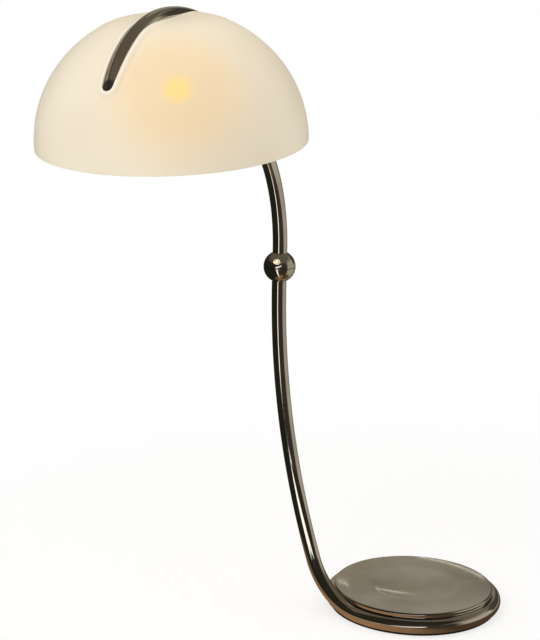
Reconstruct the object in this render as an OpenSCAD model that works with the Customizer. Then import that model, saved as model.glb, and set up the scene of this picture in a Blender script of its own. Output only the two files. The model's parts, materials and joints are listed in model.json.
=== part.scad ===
// Floor lamp: one bent tube makes the ring of the foot and the rising stem.
// A ball split at its middle lets the upper arm swivel, and the arm arches over an opal dome shade
// and lies in a groove that is moulded into the dome.
// Millimetres, +Z up, origin on the floor at the centre of the foot, front towards -Y.

/* [Tube] */
// Outside diameter of the stem and arm tube
tube_d = 30; // [26:0.5:33]
// Wall of the tube
tube_wall = 1.5; // [1:0.1:2.5]
// Radial gap where one piece slips into another
slip = 0.05; // [0.02:0.01:0.2]

/* [Foot] */
// Radius of the ring's centre line
ring_r = 168; // [150:1:190]
// Angle of the ring left open under the rising stem
ring_open = 32; // [30:1:40]
// Thickness of the pad under the foot
pad_t = 3; // [2:0.5:5]
// How far the pad's edge stays inside the ring's outer edge
pad_inset = 10; // [6:1:14]
// Height of the cover's top above the ring's crown
cover_rise = 10.5; // [9:0.5:13]
// How far the cover's edge stays inside the ring's centre line
cover_inset = 2.5; // [1:0.5:5]
// Sheet thickness of the cover
cover_t = 2; // [1.5:0.1:3]
// Outside radius of the cover's rolled edge
cover_edge = 4; // [3.5:0.5:6]
// Gap between the cover's skirt and the ring's crown
cover_gap = 0.8; // [0.5:0.1:2]
// Radius of the round dish in the cover
dish_r = 92; // [80:1:105]
// Depth of the dish
dish_depth = 4; // [2:0.5:6]
// Width of the dish's sloping wall
dish_slope = 8; // [5:0.5:12]
// Gap round the ballast inside the ring
ballast_gap = 2; // [1:0.5:4]
// How far the ballast's rim stays below the ring's crown
ballast_drop = 2; // [1.5:0.5:3]
// Bevel on the ballast's top edge
ballast_bevel = 4; // [2:0.5:6]
// How far the ballast's raised centre stays inside the dish's flat floor
boss_inset = 6; // [3:1:12]

/* [Foot fixings] */
// Diameter of the stud under the cover
stud_d = 10; // [8:1:12]
// Play of the stud in the ballast
stud_play = 0.3; // [0.2:0.1:0.6]
// Depth of the recess under the ballast
recess_depth = 10; // [9:0.5:13]
// Diameter of the recess under the ballast
recess_d = 30; // [28:1:36]
// Diameter of the washer on the stud
stud_washer_d = 24; // [22:1:26]
// Thickness of the washer on the stud
stud_washer_t = 1.5; // [1:0.5:2]
// Height of the nut on the stud
stud_nut_h = 5; // [4:0.5:6]
// Width of that nut across its corners
stud_nut_d = 19; // [18:0.5:20]
// Number of clips that tie the ring to the ballast
clip_n = 3; // [3:1:6]
// Width of a clip
clip_w = 26; // [20:1:34]
// Thickness of a clip
clip_t = 2; // [1.5:0.5:3]
// How far a clip lies on the ballast
clip_lap = 26; // [22:1:34]
// How far a clip's end stays inside the ring's centre line
clip_short = 6; // [5:0.5:7]
// Diameter of a clip screw
screw_d = 5; // [4:0.5:6]
// Length of a clip screw in the ballast
screw_len = 10; // [8:1:14]
// Diameter of a clip screw's head
screw_head_d = 9; // [8:0.5:10]
// Height of a clip screw's head
screw_head_h = 2.5; // [2:0.5:3]

/* [Stem] */
// Direction from the foot's centre to the point where the stem leaves the ring
stem_azimuth = 230; // [210:1:250]
// Radius of the bend at the foot
foot_bend_r = 144; // [130:1:160]
// Angle of the bend at the foot
foot_bend_a = 66; // [63:0.1:69]
// Radius of the long bend of the stem
stem_bend_r = 1393; // [1250:1:1500]
// Straight stretch of tube beside the ball
neck = 3; // [2:0.5:8]

/* [Cord inlet] */
// Length of the inlet bush outside the tube
gland_len = 5; // [4:0.5:8]
// Length of the inlet bush inside the tube
gland_in = 12; // [10:0.5:16]
// Bore of the inlet bush
gland_bore = 7; // [6.5:0.5:9]
// Diameter of the lead inside the tubes
lead_d = 5.2; // [4.6:0.1:5.6]

/* [Ball swivel] */
// Diameter of the split ball
ball_d = 66; // [62:1:74]
// Width of the seam between the halves
seam = 0.8; // [0.6:0.1:1.2]
// Web between the seam and each tube socket
web = 9.6; // [8.5:0.1:12]
// Diameter of the hollow swivel bolt
bolt_d = 12; // [11:0.5:13]
// Bore of the swivel bolt
bolt_bore = 7; // [6.5:0.1:7.5]
// Height of the swivel bolt's head
bolt_head_h = 4; // [3:0.5:6]
// Width of the swivel bolt's head across its corners
bolt_head_d = 20; // [18:0.5:21]
// Thickness of the spring washer
spring_t = 1.5; // [1:0.1:2]
// Diameter of the spring washer
spring_d = 22; // [20:0.5:23]
// Height of the swivel nut
swivel_nut_h = 6.5; // [5:0.5:8]
// Width of the swivel nut across its corners
swivel_nut_d = 20; // [18:0.5:21]
// Length of the bolt past the nut
bolt_past = 2; // [1:0.5:4]
// Diameter of the friction washer in the seam
friction_d = 36; // [30:1:38]
// Diameter of the stop pin
pin_d = 3.8; // [3:0.1:4.2]
// Radius of the stop pin's circle
pin_r = 24; // [23.5:0.1:25]
// Length of the stop pin in the upper half
pin_in = 7; // [5:0.5:8]
// Depth of the stop pin's slot in the lower half
slot_depth = 4; // [3:0.5:5]
// Play of the stop pin in its slot
slot_play = 0.3; // [0.2:0.1:0.5]
// Angle of the swivel to each side of the rest position
swivel = 170; // [120:1:171]

/* [Arm] */
// Direction in which the arm reaches out
arm_azimuth = 248.5; // [200:0.5:290]
// Radius of the arm's first bend
arm_low_r = 327; // [300:1:350]
// Angle of the arm's first bend
arm_low_a = 33.9; // [32.2:0.1:35.2]
// Straight run of the arm behind the shade
arm_run = 189; // [175:1:205]
// Radius of the bend that rises over the shade
arm_high_r = 355; // [344:1:369]
// Angle of that bend
arm_high_a = 61.5; // [60.8:0.1:62.6]
// Angle of the lamp's place along that bend
lamp_a = 58.9; // [58.4:0.1:59.4]
// Radius of the bend down the shade's front
arm_front_r = 199; // [193:1:209]
// Angle of that bend
arm_front_a = 56.7; // [48:0.1:60]
// Straight length of the end cap
cap_run = 9; // [6:0.5:14]
// Length of the end cap's spigot in the tube
cap_in = 14; // [10:1:20]
// Height of the shadow groove where the cap meets the tube
cap_notch = 1; // [0.5:0.1:2]
// Depth of that groove
cap_notch_depth = 0.8; // [0.4:0.1:1.2]

/* [Shade] */
// Radius of the shade at its rim
shade_r = 245; // [240:1:252]
// Height of the shade
shade_h = 238; // [234:1:242]
// Height of the upright wall at the rim
rim_h = 5; // [2:1:12]
// Angle of the line where the shoulder's curve meets the crown's
shoulder_a = 45; // [35:1:55]
// Wall of the shade
shade_t = 4; // [3:0.5:5]
// Forward pitch of the shade on the arm
shade_pitch = 3.8; // [2.5:0.1:5]
// Depth of the tube's centre under the dome's top
shade_sink = 11.5; // [9:0.5:12.5]
// Gap between the tube and the groove
groove_gap = 0.5; // [0.3:0.1:1]
// Angle of the groove's reach back along the rising bend
groove_back = 53; // [50:1:58]
// Wall of the groove
groove_t = 6; // [4:0.5:8]
// Height of the lip round the groove above the dome
lip_h = 1.5; // [0.5:0.1:2.5]

/* [Shade fixing] */
// Diameter of the hollow nipple
nipple_d = 10; // [9:0.5:11]
// Bore of the nipple
nipple_bore = 6.6; // [6.2:0.1:7]
// Diameter of the boss inside the tube that holds the nipple
boss_d = 16; // [14:1:18]
// Depth of that boss
boss_h = 6; // [4:0.5:8]
// Diameter of the saddle under the groove
saddle_d = 28; // [24:1:32]
// Thickness of the saddle under the groove's lowest line
saddle_t = 5; // [3:0.5:8]
// Diameter of the washer under the saddle
shade_washer_d = 26; // [22:1:28]
// Thickness of that washer
shade_washer_t = 1.5; // [1:0.5:2.5]
// Height of the locknut
locknut_h = 5; // [4:0.5:7]
// Width of the locknut across its corners
locknut_d = 19; // [17:0.5:20]
// Bend radius of the lead into the nipple
lead_bend = 10; // [9:0.5:11]
// Diameter of the lead in the nipple
lamp_lead_d = 4.6; // [4:0.1:5]

/* [Lamp holder and bulb] */
// Height of the holder's cap
holder_cap_h = 21; // [19:1:26]
// Diameter of the neck of the holder's cap
holder_neck_d = 20; // [18:1:24]
// Diameter of the holder
holder_d = 41; // [39:1:46]
// Wall of the holder's cap
holder_wall = 2; // [1.5:0.5:3]
// Length of the holder's body
holder_len = 36; // [33:1:42]
// Hollow above the holder's floor
holder_hollow = 3; // [2:0.5:5]
// Thickness of the holder's floor
holder_floor = 4; // [3:0.5:6]
// Bore of the holder's body
holder_bore = 32; // [31:0.5:34]
// Outside diameter of the screw shell
shell_d = 30; // [29:0.5:30.5]
// Wall of the screw shell
shell_t = 1.2; // [0.8:0.1:1.5]
// Length of the screw shell
shell_len = 25; // [20:1:27]
// Diameter of the centre contact
contact_d = 10; // [8:0.5:12]
// Height of the centre contact
contact_h = 2.5; // [2:0.5:3.5]
// Diameter of the contact's rivet
rivet_d = 5.8; // [4:0.2:7]
// Diameter of the bulb's cap
bulb_cap_d = 26.4; // [26:0.1:26.8]
// Length of the bulb's cap past its tip
bulb_cap_len = 26.5; // [25:0.5:30]
// Height of the tip of the bulb's cap
bulb_tip_h = 3; // [2:0.5:4]
// Diameter of the tip of the bulb's cap
bulb_tip_d = 9; // [7:0.5:10]
// Diameter of the bulb's globe
bulb_d = 60; // [50:1:70]
// Distance from the bulb's cap to the globe's centre
bulb_reach = 47; // [42:1:55]
// Thickness of the bulb's glass
bulb_t = 1; // [0.8:0.1:1.5]

/* [Hidden] */
$fn = 96;
eps = 1;
lap_step = 0.1;
groove_step = 0.2;
lap_len = 1;
tip_flat = 0.05;
tube_r = tube_d / 2;
bore_r = tube_r - tube_wall;
socket_r = tube_r + lap_step + slip;
ring_z = pad_t + tube_r;
ring_crown = pad_t + tube_d;
ring_end_a = 360 - ring_open;
cover_top = ring_crown + cover_rise;
cover_r = ring_r - cover_inset;
skirt_z = ring_crown + cover_gap;
dish_under = cover_top - dish_depth - cover_t;
ballast_r = ring_r - tube_r - ballast_gap;
ballast_top = ring_crown - ballast_drop;
recess_top = pad_t + recess_depth;
clip_from = ballast_r - clip_lap;
clip_screw_r = ballast_r - clip_lap / 2;
ball_r = ball_d / 2;
socket_z = web + seam / 2;
neck_z = sqrt(ball_r * ball_r - tube_r * tube_r) + neck;
stem_rise = foot_bend_r * (1 - cos(foot_bend_a)) + stem_bend_r * cos(foot_bend_a) + neck_z;
stem_reach = foot_bend_r * sin(foot_bend_a) + stem_bend_r * (1 - sin(foot_bend_a));
ball_pos = [ring_r * cos(stem_azimuth) + stem_reach * sin(stem_azimuth),
            ring_r * sin(stem_azimuth) - stem_reach * cos(stem_azimuth),
            ring_z + stem_rise];
bolt_end = socket_z + spring_t + swivel_nut_h + bolt_past;
pin_half_a = asin((pin_d / 2 + slot_play) / pin_r);
groove_r = tube_r + groove_gap;
trough_r = groove_r + groove_t;
groove_from = arm_high_a - groove_back;
seat_x = trough_r + saddle_t;
washer_x = seat_x + shade_washer_t;
nut_x = washer_x + locknut_h;
body_x = nut_x + holder_cap_h;
floor_x = body_x + holder_hollow;
well_x = floor_x + holder_floor;
tip_x = well_x + contact_h;
globe_x = tip_x + bulb_cap_len;
dome_up = shade_h - rim_h;
dome_d = (shade_r - dome_up) / (sin(shoulder_a) + cos(shoulder_a) - 1);
shoulder_r = shade_r - dome_d * cos(shoulder_a);
crown_r = shoulder_r + dome_d;
chrome = [0.56, 0.53, 0.48];
steel = [0.62, 0.62, 0.6];
black = [0.13, 0.11, 0.11];
opal = [0.93, 0.89, 0.8];
brass = [0.78, 0.63, 0.33];

// Steps in a full turn that keep a bend of this radius smooth
function turn_steps(rad) = max(96, 12 * ceil(1.6 * sqrt(rad)));

// Cross-section of a tube, or of a rod when the inner radius is 0
module section(r_out, r_in) {
    difference() {
        circle(r = r_out, $fn = 72);
        if (r_in > 0) circle(r = r_in, $fn = 72);
    }
}

// Bend that starts at the origin heading +Z and turns towards +X.
// A lapped piece is a hair thicker and reaches a little into its neighbours.
module bend(rad, ang, r_out, r_in = 0, step = 0) {
    more = step > 0 ? lap_len / rad * 180 / PI : 0;
    translate([rad, 0, 0]) rotate([90, 0, 180]) rotate([0, 0, -more])
        rotate_extrude(angle = ang + 2 * more, $fn = turn_steps(rad))
            translate([rad, 0]) section(r_out + step, r_in - step);
}

// Straight run that starts at the origin heading +Z
module run(len, r_out, r_in = 0, step = 0) {
    more = step > 0 ? lap_len : 0;
    translate([0, 0, -more]) linear_extrude(height = len + more) section(r_out + step, r_in - step);
}

// Frame at the end of a bend or a run
module past_bend(rad, ang) {
    translate([rad * (1 - cos(ang)), 0, rad * sin(ang)]) rotate([0, ang, 0]) children();
}
module past_run(len) {
    translate([0, 0, len]) children();
}

// Flat ring or washer from z0 upwards
module washer(d_out, d_in, z0, h) {
    translate([0, 0, z0]) linear_extrude(height = h) section(d_out / 2, d_in / 2);
}

// Hexagon nut from z0 upwards
module hex_nut(d_corners, d_in, z0, h) {
    translate([0, 0, z0]) difference() {
        cylinder(d = d_corners, h = h, $fn = 6);
        translate([0, 0, -eps]) cylinder(d = d_in, h = h + 2 * eps);
    }
}

// Start of the stem on the ring, heading along the ring's tangent and turning upwards
module on_ring() {
    translate([ring_r * cos(stem_azimuth), ring_r * sin(stem_azimuth), ring_z])
        rotate([0, 0, stem_azimuth - 270]) rotate([0, -90, 0]) children();
}

// The ring and the stem up to the socket in the ball
module stem_path(r_out, r_in, ring_a, top_gap) {
    translate([0, 0, ring_z]) rotate([0, 0, stem_azimuth])
        rotate_extrude(angle = ring_a, $fn = turn_steps(ring_r)) translate([ring_r, 0]) section(r_out, r_in);
    on_ring() {
        bend(foot_bend_r, foot_bend_a, r_out, r_in, step = lap_step);
        past_bend(foot_bend_r, foot_bend_a) {
            bend(stem_bend_r, 90 - foot_bend_a, r_out, r_in);
            past_bend(stem_bend_r, 90 - foot_bend_a) run(neck_z - top_gap, r_out, r_in, step = lap_step);
        }
    }
}

// Frame at the ball's centre, and the same turned so that +X points along the arm's reach
module at_ball() {
    translate(ball_pos) children();
}
module at_arm() {
    at_ball() rotate([0, 0, arm_azimuth]) children();
}

// Frames along the arm
module past_low() {
    at_arm() past_run(neck_z) past_bend(arm_low_r, arm_low_a) children();
}
module at_high() {
    past_low() past_run(arm_run) children();
}
module at_front() {
    at_high() past_bend(arm_high_r, arm_high_a) children();
}
module at_tip() {
    at_front() past_bend(arm_front_r, arm_front_a) children();
}
// Lamp axis: +Z runs down from the tube's centre line
module at_lamp() {
    at_high() past_bend(arm_high_r, lamp_a) rotate([0, 90, 0]) children();
}
// Shade: +Z along its axis, origin at the rim's centre
module at_shade() {
    at_high() past_bend(arm_high_r, lamp_a) rotate([0, -90, 0]) rotate([0, shade_pitch, 0])
        translate([0, 0, shade_sink - shade_h]) children();
}

// Half-profile of a rod from z0 to z1 with a rounded end, which has a small flat at its tip
module blunt_half(z0, z1, r) {
    translate([0, z0]) square([r, z1 - z0]);
    translate([0, z1]) intersection() {
        circle(r = r, $fn = 180);
        square([r, r - tip_flat]);
    }
}

// The stretch of the arm's line that the groove follows, rounded at the front
module groove_line(r) {
    at_high() past_bend(arm_high_r, groove_from) bend(arm_high_r, arm_high_a - groove_from, r, step = groove_step);
    at_front() bend(arm_front_r, arm_front_a, r);
    at_tip() rotate_extrude() blunt_half(-lap_len, cap_run, r + groove_step);
}

// Half-profile of the dome's solid, grown by g
module dome_half(g) {
    far = 2 * (crown_r + g);
    intersection() {
        translate([0, rim_h - dome_d * sin(shoulder_a)]) circle(r = crown_r + g, $fn = 180);
        translate([0, rim_h - dome_d * sin(shoulder_a)])
            polygon([[0, 0], [far * cos(shoulder_a), far * sin(shoulder_a)], [0, far]]);
    }
    intersection() {
        translate([dome_d * cos(shoulder_a), rim_h]) circle(r = shoulder_r + g, $fn = 180);
        translate([dome_d * cos(shoulder_a), rim_h])
            polygon([[0, 0], [far, 0], [far * cos(shoulder_a), far * sin(shoulder_a)]]);
    }
    polygon([[0, 0], [shade_r + g, 0], [shade_r + g, rim_h], [dome_d * cos(shoulder_a), rim_h],
             [0, rim_h - dome_d * sin(shoulder_a)]]);
}
module dome_solid(g) {
    rotate_extrude($fn = turn_steps(shade_r)) dome_half(g);
}

module floor_pad() {
    color(black) cylinder(r = ring_r + tube_r - pad_inset, h = pad_t);
}

module ballast() {
    boss_r = dish_r - dish_slope - boss_inset;
    color([0.25, 0.25, 0.26]) difference() {
        rotate_extrude() polygon([
            [0, pad_t], [ballast_r, pad_t], [ballast_r, ballast_top - ballast_bevel],
            [ballast_r - ballast_bevel, ballast_top], [boss_r, ballast_top], [boss_r, dish_under], [0, dish_under]]);
        cylinder(d = stud_d + 2 * stud_play, h = cover_top);
        translate([0, 0, pad_t - eps]) cylinder(d = recess_d, h = recess_depth + eps);
        clip_places() translate([clip_screw_r, 0, ballast_top - screw_len])
            cylinder(d = screw_d + 2 * slip, h = screw_len + eps);
    }
}

module clip_places() {
    for (i = [0 : clip_n - 1]) rotate([0, 0, stem_azimuth + 60 + i * 360 / clip_n]) children();
}

module ring_clips() {
    color(steel) difference() {
        clip_places() difference() {
            translate([clip_from, -clip_w / 2, ballast_top])
                cube([ring_r - clip_short - clip_from, clip_w, clip_t]);
            translate([clip_screw_r, 0, 0]) cylinder(d = screw_d + 2 * slip, h = cover_top);
        }
        translate([0, 0, ring_z]) rotate_extrude() translate([ring_r, 0]) circle(r = tube_r + slip);
    }
}

module clip_screws() {
    color(steel) clip_places() translate([clip_screw_r, 0, 0]) {
        translate([0, 0, ballast_top - screw_len]) cylinder(d = screw_d, h = screw_len + clip_t);
        translate([0, 0, ballast_top + clip_t]) cylinder(d = screw_head_d, h = screw_head_h);
    }
}

// Outline of the cover from its skirt to its top, drawn in by t
module cover_outline(t) {
    square([cover_r - cover_edge, cover_top - t]);
    square([cover_r - t, cover_top - cover_edge]);
    translate([cover_r - cover_edge, cover_top - cover_edge]) circle(r = cover_edge - t);
}

module base_cover() {
    flat_r = dish_r - dish_slope;
    floor_z = cover_top - dish_depth;
    color(chrome) difference() {
        rotate_extrude() cover_outline(0);
        translate([0, 0, floor_z])
            cylinder(r1 = flat_r, r2 = dish_r + dish_slope * eps / dish_depth, h = dish_depth + eps);
        difference() {
            rotate_extrude() cover_outline(cover_t);
            translate([0, 0, dish_under]) cylinder(r1 = flat_r, r2 = dish_r, h = dish_depth);
        }
        translate([0, 0, -eps]) cylinder(r = 2 * cover_r, h = skirt_z + eps);
        on_ring() bend(foot_bend_r, foot_bend_a, tube_r + cover_gap);
    }
}

module cover_stud() {
    low = recess_top - stud_washer_t - stud_nut_h - eps;
    color(steel) translate([0, 0, low]) cylinder(d = stud_d, h = dish_under - low);
}

module stud_washer() {
    color(steel) washer(stud_washer_d, stud_d + 2 * stud_play, recess_top - stud_washer_t, stud_washer_t);
}

module stud_nut() {
    color(steel) hex_nut(stud_nut_d, stud_d + 2 * slip, recess_top - stud_washer_t - stud_nut_h, stud_nut_h);
}

module stem_tube() {
    color(chrome) stem_path(tube_r, bore_r, ring_end_a, socket_z);
}

module cord_gland() {
    in_a = gland_in / ring_r * 180 / PI;
    color(black) difference() {
        union() {
            translate([0, 0, ring_z]) rotate([0, 0, stem_azimuth + ring_end_a - in_a])
                rotate_extrude(angle = in_a) translate([ring_r, 0]) circle(r = bore_r - slip);
            at_ring_end() cylinder(r = tube_r, h = gland_len);
        }
        at_ring_end() translate([0, 0, -2 * gland_in]) cylinder(d = gland_bore, h = 3 * gland_in + gland_len);
    }
}

module at_ring_end() {
    rotate([0, 0, stem_azimuth + ring_end_a]) translate([ring_r, 0, ring_z]) rotate([-90, 0, 0]) children();
}

module stem_lead() {
    held_a = gland_in / 2 / ring_r * 180 / PI;
    color(black) stem_path(lead_d / 2, 0, ring_end_a - held_a, bolt_end);
}

// Half of the ball above its seam, with the tube's socket and the bolt's hole
module ball_half(hole_d) {
    difference() {
        intersection() {
            sphere(r = ball_r);
            translate([-ball_d, -ball_d, seam / 2]) cube([2 * ball_d, 2 * ball_d, 2 * ball_d]);
        }
        translate([0, 0, socket_z]) cylinder(r = socket_r, h = ball_r);
        cylinder(d = hole_d, h = ball_r);
    }
}

module lower_ball_half() {
    slot_in = pin_r - pin_d / 2 - slot_play;
    slot_a = 2 * (swivel + pin_half_a);
    color(chrome) at_ball() difference() {
        mirror([0, 0, 1]) ball_half(bolt_d + 2 * slip);
        rotate([0, 0, arm_azimuth - slot_a / 2]) rotate_extrude(angle = slot_a)
            translate([slot_in, -seam / 2 - slot_depth]) square([pin_d + 2 * slot_play, slot_depth + eps]);
    }
}

module upper_ball_half() {
    color(chrome) at_arm() difference() {
        ball_half(bolt_d + 2 * slip);
        translate([pin_r, 0, 0]) cylinder(d = pin_d + 2 * slip, h = seam / 2 + pin_in);
    }
}

module stop_pin() {
    low = seam / 2 + slot_depth - slot_play;
    color(steel) at_arm() translate([pin_r, 0, -low]) cylinder(d = pin_d, h = low + seam / 2 + pin_in);
}

module friction_washer() {
    color([0.85, 0.84, 0.8]) at_ball() washer(friction_d, bolt_d + 2 * slip, -seam / 2, seam);
}

module swivel_bolt() {
    color(steel) at_arm() difference() {
        union() {
            translate([0, 0, -bolt_end]) cylinder(d = bolt_d, h = bolt_end + socket_z);
            translate([0, 0, socket_z]) cylinder(d = bolt_head_d, h = bolt_head_h, $fn = 6);
        }
        translate([0, 0, -2 * bolt_end]) cylinder(d = bolt_bore, h = 4 * bolt_end);
    }
}

module spring_washer() {
    color(steel) at_arm() washer(spring_d, bolt_d + 2 * slip, -socket_z - spring_t, spring_t);
}

module swivel_nut() {
    color(steel) at_arm()
        hex_nut(swivel_nut_d, bolt_d + 2 * slip, -socket_z - spring_t - swivel_nut_h, swivel_nut_h);
}

module arm_tube() {
    color(chrome) difference() {
        union() {
            at_arm() {
                translate([0, 0, socket_z]) run(neck_z - socket_z, tube_r, bore_r);
                past_run(neck_z) bend(arm_low_r, arm_low_a, tube_r, bore_r, step = lap_step);
            }
            past_low() run(arm_run, tube_r, bore_r);
            at_high() bend(arm_high_r, arm_high_a, tube_r, bore_r, step = lap_step);
            at_front() bend(arm_front_r, arm_front_a, tube_r, bore_r);
        }
        at_lamp() cylinder(d = nipple_d + 2 * slip, h = tube_d);
    }
}

module arm_end_cap() {
    in_a = cap_in / arm_front_r * 180 / PI;
    color(black) {
        at_front() past_bend(arm_front_r, arm_front_a - in_a) bend(arm_front_r, in_a, bore_r - slip);
        at_tip() rotate_extrude() {
            translate([0, -lap_len]) square([bore_r / 2, 2 * lap_len]);
            square([tube_r - cap_notch_depth, cap_notch + eps]);
            blunt_half(cap_notch, cap_run, tube_r);
        }
    }
}

module arm_lead() {
    back_a = asin((lead_bend + lap_len + 2 * slip) / arm_high_r);
    color(black) {
        at_arm() {
            translate([0, 0, -bolt_end]) run(bolt_end + neck_z, lead_d / 2);
            past_run(neck_z) bend(arm_low_r, arm_low_a, lead_d / 2, step = lap_step);
        }
        past_low() run(arm_run, lead_d / 2);
        at_high() bend(arm_high_r, lamp_a - back_a, lead_d / 2, step = lap_step);
    }
}

module shade() {
    color(opal) difference() {
        union() {
            at_shade() difference() {
                dome_solid(0);
                translate([0, 0, -eps]) cylinder(r = shade_r - shade_t, h = 2 * eps);
                dome_solid(-shade_t);
            }
            intersection() {
                at_shade() dome_solid(lip_h);
                groove_line(trough_r);
            }
        }
        groove_line(groove_r);
        at_lamp() cylinder(d = nipple_d + 2 * slip, h = 2 * trough_r);
    }
}

module nipple_boss() {
    color(steel) difference() {
        intersection() {
            at_lamp() translate([0, 0, bore_r - boss_h]) cylinder(d = boss_d, h = 2 * boss_h);
            at_high() bend(arm_high_r, arm_high_a, bore_r - lap_step - slip);
        }
        at_lamp() cylinder(d = nipple_d + 2 * slip, h = tube_d);
    }
}

module nipple() {
    top = bore_r - boss_h;
    color(brass) at_lamp() washer(nipple_d, nipple_bore, top, nut_x + holder_cap_h / 2 - top);
}

module shade_saddle() {
    color(black) difference() {
        at_lamp() translate([0, 0, tube_r]) cylinder(d = saddle_d, h = seat_x - tube_r);
        groove_line(trough_r + slip);
        at_lamp() cylinder(d = nipple_d + 2 * slip, h = 2 * seat_x);
    }
}

module shade_washer() {
    color(steel) at_lamp() washer(shade_washer_d, nipple_d + 2 * slip, seat_x, shade_washer_t);
}

module shade_locknut() {
    color(brass) at_lamp() hex_nut(locknut_d, nipple_d + 2 * slip, washer_x, locknut_h);
}

module lamp_lead() {
    color(black) at_lamp() {
        rotate([0, -90, 0]) translate([0, 0, -lead_bend]) bend(lead_bend, 90, lamp_lead_d / 2);
        past_run(lead_bend) run(body_x - lead_bend, lamp_lead_d / 2);
    }
}

// Half-profile of the holder's cap: a neck that widens to the holder's diameter
module holder_cap_half(t) {
    top = nut_x + (t > 0 ? holder_cap_h / 3 : 0);
    polygon([[0, top], [holder_neck_d / 2 - t, top], [holder_neck_d / 2 - t, nut_x + holder_cap_h / 3],
             [holder_d / 2 - t, nut_x + holder_cap_h * 2 / 3], [holder_d / 2 - t, body_x + t], [0, body_x + t]]);
}

module holder_cap() {
    color(black) at_lamp() rotate_extrude() difference() {
        holder_cap_half(0);
        holder_cap_half(holder_wall);
        square([nipple_d / 2 + slip, body_x]);
    }
}

module holder_body() {
    color(black) at_lamp() difference() {
        translate([0, 0, body_x]) cylinder(d = holder_d, h = holder_len);
        translate([0, 0, well_x]) cylinder(d = holder_bore, h = holder_len);
        translate([0, 0, body_x - eps]) cylinder(d = holder_bore, h = holder_hollow + eps);
        translate([0, 0, body_x]) cylinder(d = rivet_d + 2 * slip, h = holder_len);
    }
}

module screw_shell() {
    color(brass) at_lamp() washer(shell_d, shell_d - 2 * shell_t, well_x, shell_len);
}

module centre_contact() {
    color(brass) at_lamp() {
        translate([0, 0, floor_x]) cylinder(d = rivet_d, h = holder_floor);
        translate([0, 0, well_x]) cylinder(d = contact_d, h = contact_h);
    }
}

module bulb_cap() {
    color([0.75, 0.75, 0.74]) at_lamp() translate([0, 0, tip_x]) {
        cylinder(d1 = bulb_tip_d, d2 = bulb_cap_d, h = bulb_tip_h);
        translate([0, 0, bulb_tip_h]) cylinder(d = bulb_cap_d, h = bulb_cap_len - bulb_tip_h);
    }
}

// Half-profile of the bulb: a cone that runs tangent into the globe
module bulb_half(t) {
    neck_r = bulb_cap_d / 2 - t;
    r = bulb_d / 2 - t;
    a = acos(r / norm([neck_r, bulb_reach])) - atan2(bulb_reach, neck_r);
    polygon([[0, 0], [neck_r, 0], [r * cos(a), bulb_reach + r * sin(a)], [0, bulb_reach + r * sin(a)]]);
    translate([0, bulb_reach]) intersection() {
        circle(r = r);
        translate([0, -r]) square([r, 2 * r]);
    }
}

module bulb_glass() {
    color([1, 0.93, 0.75]) at_lamp() translate([0, 0, globe_x]) rotate_extrude() difference() {
        bulb_half(0);
        bulb_half(bulb_t);
    }
}

floor_pad();
ballast();
ring_clips();
clip_screws();
base_cover();
cover_stud();
stud_washer();
stud_nut();
stem_tube();
cord_gland();
stem_lead();
lower_ball_half();
friction_washer();
swivel_bolt();
spring_washer();
swivel_nut();
stop_pin();
upper_ball_half();
arm_tube();
arm_end_cap();
arm_lead();
shade();
nipple_boss();
nipple();
shade_saddle();
shade_washer();
shade_locknut();
lamp_lead();
holder_cap();
holder_body();
screw_shell();
centre_contact();
bulb_cap();
bulb_glass();
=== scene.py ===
import bmesh
import bpy
import json
import math
from mathutils import Matrix, Vector


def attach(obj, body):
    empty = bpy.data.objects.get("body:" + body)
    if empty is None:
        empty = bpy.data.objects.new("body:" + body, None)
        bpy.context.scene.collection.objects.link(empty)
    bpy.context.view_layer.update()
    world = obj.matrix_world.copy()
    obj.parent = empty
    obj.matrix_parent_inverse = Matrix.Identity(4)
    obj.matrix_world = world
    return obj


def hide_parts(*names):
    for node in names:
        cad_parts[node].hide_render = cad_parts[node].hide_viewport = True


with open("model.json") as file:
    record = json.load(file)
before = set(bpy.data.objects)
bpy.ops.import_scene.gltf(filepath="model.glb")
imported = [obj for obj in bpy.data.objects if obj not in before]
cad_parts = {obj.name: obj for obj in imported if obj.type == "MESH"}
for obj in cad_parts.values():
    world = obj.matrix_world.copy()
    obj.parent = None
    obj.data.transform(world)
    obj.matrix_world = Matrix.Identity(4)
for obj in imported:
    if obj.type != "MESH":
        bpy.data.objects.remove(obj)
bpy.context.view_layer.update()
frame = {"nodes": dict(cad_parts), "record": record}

mm = 0.001  # the sizes below are in millimetres, as in the solids
scene = bpy.context.scene


# frames along the lamp, the same way as the solids are laid out
def shift(x, y, z):
    return Matrix.Translation((x * mm, y * mm, z * mm))


def turn(degrees, axis):
    return Matrix.Rotation(math.radians(degrees), 4, axis)


def pastBend(radius, degrees):
    a = math.radians(degrees)
    return shift(radius * (1 - math.cos(a)), 0, radius * math.sin(a)) @ turn(degrees, "Y")


tubeSize = {"radius": 15, "around": 56}
footSize = {"ringRadius": 168, "openAngle": 32, "padHeight": 3, "padRadius": 173, "padEdge": 0.6,
            "coverTop": 43.5, "coverRadius": 165.5, "skirt": 33.8, "edge": 4, "sheet": 2, "hem": 0.3,
            "bendRoom": 0.8, "dishRadius": 92, "dishDepth": 4, "dishEdge": 12}
stemSize = {"azimuth": 230, "footBend": 144, "footAngle": 66, "longBend": 1393, "neck": 3, "softEnd": 0.35}
ballSize = {"radius": 33, "seam": 0.8, "web": 9.6, "bore": 6.05, "socketPlay": 0.15, "seamIn": 0.6,
            "seamCorner": 0.15, "seamUp": 0.5, "brimAngle": 0.6, "brimEdge": 0.2}
armSize = {"azimuth": 248.5, "lowBend": 327, "lowAngle": 33.9, "run": 189, "highBend": 355,
           "highAngle": 61.5, "lampAngle": 58.9, "frontBend": 199, "frontAngle": 56.7, "softEnd": 0.4}
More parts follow.
